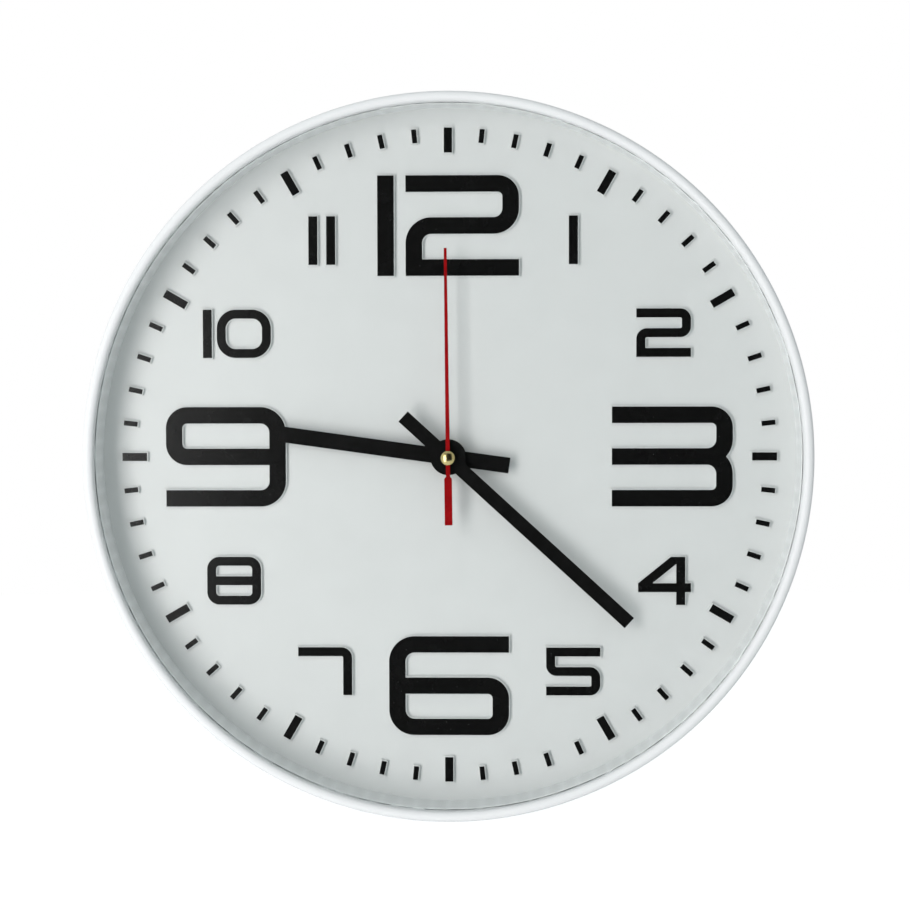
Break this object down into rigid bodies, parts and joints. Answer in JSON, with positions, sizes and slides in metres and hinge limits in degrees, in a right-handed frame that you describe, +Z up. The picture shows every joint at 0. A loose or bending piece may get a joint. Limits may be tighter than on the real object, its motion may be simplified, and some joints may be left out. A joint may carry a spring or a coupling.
{
  "type": "wall clock",
  "caption": "Round white quartz wall clock with raised black block numerals, baton hands, a red second hand and a battery movement with its gear train.",
  "frame": {"origin": "on the clock's axis in the plane of the case's rear rim, where the clock bears on the wall", "axes": "+Z up towards the 12, +X towards the 3 as seen from the front, -Y out from the wall to the glass and the viewer"},
  "size_m": [0.3, 0.045, 0.3],
  "materials": {
    "case_white": "glossy moulded",
    "dial_white": "fine satin moulded",
    "lens_glass": "clear polished",
    "foil_black": "hot-stamped gloss black",
    "hand_black": "satin black paint",
    "hand_red": "satin red paint",
    "brass": "turned and polished",
    "steel": "bright zinc plate",
    "movement_black": "fine spark-eroded texture",
    "gear_ivory": "natural acetal",
    "rubber_black": "matt",
    "board_green": "solder mask",
    "copper": "enamelled wire",
    "magnet_grey": "sintered",
    "cell_case": "nickel plate",
    "cell_sleeve": "printed shrink sleeve, plain"
  },
  "bodies": {
    "clock_case": {"frame": "case_white", "glass": "lens_glass", "dial": "dial_white", "numeral_1": "foil_black", "numeral_2": "foil_black", "numeral_3": "foil_black", "numeral_4": "foil_black", "numeral_5": "foil_black", "numeral_6": "foil_black", "numeral_7": "foil_black", "numeral_8": "foil_black", "numeral_9": "foil_black", "numeral_10": "foil_black", "numeral_11": "foil_black", "numeral_12": "foil_black", "hour_marks": "foil_black", "minute_marks": "foil_black", "hanger_plate": "steel", "hanger_screws": "steel", "rubber_washer": "rubber_black", "flat_washer": "brass", "hex_nut": "brass", "movement_case": "movement_black", "movement_cover": "movement_black", "positive_contact": "steel", "negative_contact": "steel", "contact_spring": "steel", "circuit_board": "board_green", "chip": "movement_black", "crystal": "steel", "coil_bobbin": "gear_ivory", "coil_winding": "copper", "coil_core": "steel", "stator": "steel"},
    "seconds_arbor": {"second_hand": "hand_red", "second_hand_bush": "brass", "second_hand_cap": "brass", "seconds_wheel": "gear_ivory"},
    "minute_shaft": {"minute_hand": "hand_black", "minute_hand_bush": "brass", "minute_arbor": "gear_ivory"},
    "hour_shaft": {"hour_hand": "hand_black", "hour_hand_bush": "brass", "hour_wheel": "gear_ivory"},
    "rotor": {"rotor_magnet": "magnet_grey", "rotor_pinion": "gear_ivory"},
    "intermediate_gear": {"intermediate_wheel": "gear_ivory"},
    "third_gear": {"third_wheel": "gear_ivory"},
    "centre_gear": {"centre_wheel": "gear_ivory"},
    "motion_gear": {"motion_wheel": "gear_ivory"},
    "knob": {"setting_knob": "movement_black"},
    "battery": {"battery_cell": "cell_case", "battery_sleeve": "cell_sleeve"}
  },
  "joints": [
    {"name": "seconds_turn", "type": "hinge", "parent": "clock_case", "child": "seconds_arbor", "pos_m": [0, 0, 0], "axis": [0, 1, 0], "continuous": true},
    {"name": "rotor_turn", "type": "hinge", "parent": "clock_case", "child": "rotor", "pos_m": [0.00342, 0, 0.01298], "axis": [0, 1, 0], "continuous": true},
    {"name": "intermediate_turn", "type": "hinge", "parent": "clock_case", "child": "intermediate_gear", "pos_m": [-0.0056, 0, 0.0097], "axis": [0, 1, 0], "continuous": true},
    {"name": "third_turn", "type": "hinge", "parent": "clock_case", "child": "third_gear", "pos_m": [0.01077, 0, 0.00151], "axis": [0, 1, 0], "continuous": true},
    {"name": "centre_turn", "type": "hinge", "parent": "clock_case", "child": "centre_gear", "pos_m": [0, 0, 0], "axis": [0, 1, 0], "continuous": true},
    {"name": "minutes_turn", "type": "hinge", "parent": "clock_case", "child": "minute_shaft", "pos_m": [0, 0, 0], "axis": [0, 1, 0], "continuous": true},
    {"name": "motion_turn", "type": "hinge", "parent": "clock_case", "child": "motion_gear", "pos_m": [-0.00927, 0, -0.00248], "axis": [0, 1, 0], "continuous": true},
    {"name": "hours_turn", "type": "hinge", "parent": "clock_case", "child": "hour_shaft", "pos_m": [0, 0, 0], "axis": [0, 1, 0], "continuous": true},
    {"name": "knob_turn", "type": "hinge", "parent": "clock_case", "child": "knob", "pos_m": [-0.01844, 0, -0.00329], "axis": [0, 1, 0], "continuous": true},
    {"name": "battery_slide", "type": "slide", "parent": "clock_case", "child": "battery", "axis": [0, 1, 0], "range_m": [0, 0.03]}
  ],
  "couplings": [
    {"joint": "rotor_turn", "follows": "seconds_turn", "ratio": 30},
    {"joint": "intermediate_turn", "follows": "seconds_turn", "ratio": -6},
    {"joint": "third_turn", "follows": "seconds_turn", "ratio": -0.13333},
    {"joint": "centre_turn", "follows": "seconds_turn", "ratio": 0.016667},
    {"joint": "motion_turn", "follows": "minutes_turn", "ratio": -0.33333},
    {"joint": "hours_turn", "follows": "minutes_turn", "ratio": 0.083333},
    {"joint": "knob_turn", "follows": "minutes_turn", "ratio": 1.2}
  ]
}
